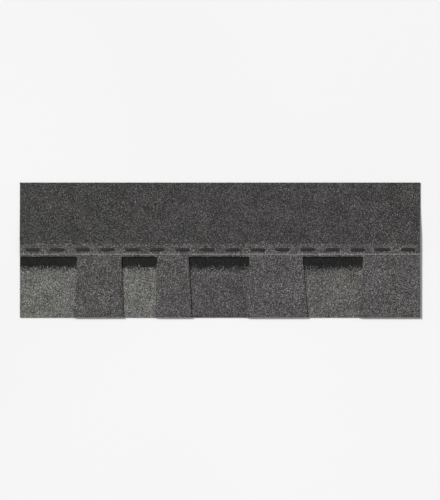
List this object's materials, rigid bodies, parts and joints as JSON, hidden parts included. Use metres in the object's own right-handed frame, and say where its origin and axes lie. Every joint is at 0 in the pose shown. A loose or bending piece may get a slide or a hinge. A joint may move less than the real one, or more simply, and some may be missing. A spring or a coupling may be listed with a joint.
{
  "type": "laminated asphalt shingle",
  "caption": "Laminated asphalt roof shingle: a granule-faced top sheet cut into flared teeth, glued over a strip that shows in the gaps, with self-seal dashes and a release film.",
  "frame": {"origin": "middle of the shingle's outline, on the floor that it lies on", "axes": "+X along the shingle to the picture's right, +Y from the butt edge up the roof slope, +Z out of the weather face"},
  "size_m": [1, 0.337, 0.0061],
  "materials": {
    "tooth_granules": "rough ceramic-coated mineral granules on asphalt, dark purplish and greenish grey, sanded black back",
    "shadow_granules": "rough mineral granules on asphalt, warm mid grey with a near-black band at the top, sanded black back",
    "asphalt": "smooth black asphalt glue",
    "sealant": "semi-gloss black self-seal asphalt",
    "film": "clear glossy release film"
  },
  "bodies": {
    "root": {"upper_ply": "tooth_granules", "lower_ply": "shadow_granules", "laminating_adhesive": "asphalt", "sealant_strip": "sealant", "release_film": "film"}
  },
  "joints": []
}
